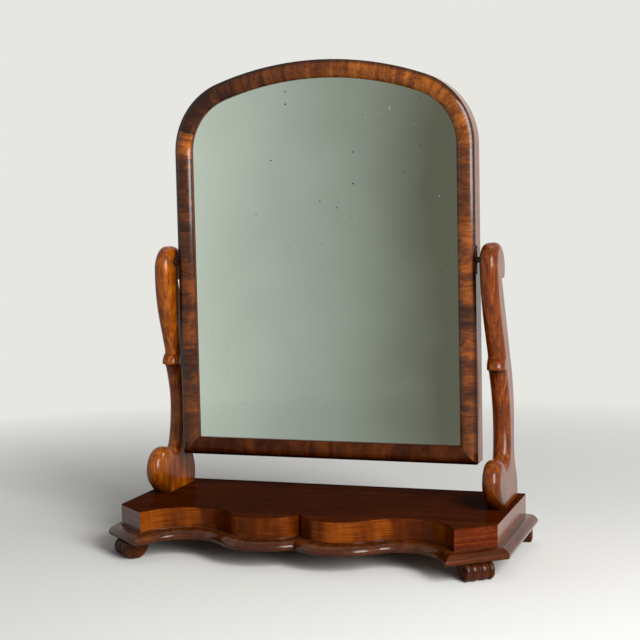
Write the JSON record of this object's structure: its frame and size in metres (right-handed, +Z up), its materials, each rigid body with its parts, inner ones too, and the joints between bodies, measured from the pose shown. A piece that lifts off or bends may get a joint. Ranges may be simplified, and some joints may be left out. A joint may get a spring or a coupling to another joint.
{
  "type": "dressing table mirror",
  "caption": "Tilting toilet mirror: arched frame on two scroll supports over a serpentine plinth with reeded scroll feet at the front and plain bracket feet behind.",
  "frame": {"origin": "on the floor, midway across the width and the depth", "axes": "+X to the viewer's right, +Y to the back, +Z up"},
  "size_m": [0.5592, 0.2574, 0.6684],
  "materials": {
    "brass": "aged",
    "facing_dark": "polished",
    "facing_warm": "polished",
    "foot": "polished",
    "frame": "polished",
    "frieze": "polished",
    "leather": "worn",
    "moulding": "polished",
    "plate": "silvered",
    "screw_steel": "aged",
    "softwood": "raw",
    "support": "polished",
    "top_veneer": "polished"
  },
  "bodies": {
    "stand": {"back_rail": "softwood", "base_board": "softwood", "base_board_screws": "screw_steel", "cant_block_left": "frieze", "cant_block_right": "frieze", "end_rail_left": "frieze", "end_rail_right": "frieze", "foot_back_left": "foot", "foot_back_right": "foot", "foot_front_left": "foot", "foot_front_right": "foot", "foot_screws": "screw_steel", "front_block_left": "frieze", "front_block_right": "frieze", "glue_blocks": "softwood", "moulding_cant_left": "moulding", "moulding_cant_right": "moulding", "moulding_front_left": "moulding", "moulding_front_right": "moulding", "moulding_side_left": "moulding", "moulding_side_right": "moulding", "pivot_socket_left": "brass", "pivot_socket_right": "brass", "plinth_top": "top_veneer", "plinth_top_board": "softwood", "support_left": "support", "support_right": "support", "support_screws": "screw_steel"},
    "mirror": {"arch_crown": "frame", "arch_left": "frame", "arch_right": "frame", "back_board_lower": "softwood", "back_board_screws": "screw_steel", "back_board_upper": "softwood", "bottom_rail": "frame", "facing_arch_1": "facing_warm", "facing_arch_2": "facing_warm", "facing_arch_3": "facing_warm", "facing_arch_4": "facing_warm", "facing_arch_5": "facing_warm", "facing_bottom_1": "facing_warm", "facing_bottom_2": "facing_warm", "facing_bottom_3": "facing_warm", "facing_left_1": "facing_dark", "facing_left_2": "facing_dark", "facing_left_3": "facing_dark", "facing_left_4": "facing_dark", "facing_right_1": "facing_warm", "facing_right_2": "facing_warm", "facing_right_3": "facing_warm", "facing_right_4": "facing_warm", "frame_dowels": "softwood", "friction_washers": "leather", "glazing_blocks": "softwood", "mirror_glass": "plate", "pivot_plate_left": "brass", "pivot_plate_right": "brass", "pivot_plate_screws": "screw_steel", "stile_left": "frame", "stile_right": "frame"}
  },
  "joints": [
    {"name": "mirror_tilt", "type": "hinge", "parent": "stand", "child": "mirror", "pos_m": [0, 0.04886, 0.3949], "axis": [-1, 0, 0], "continuous": true}
  ]
}
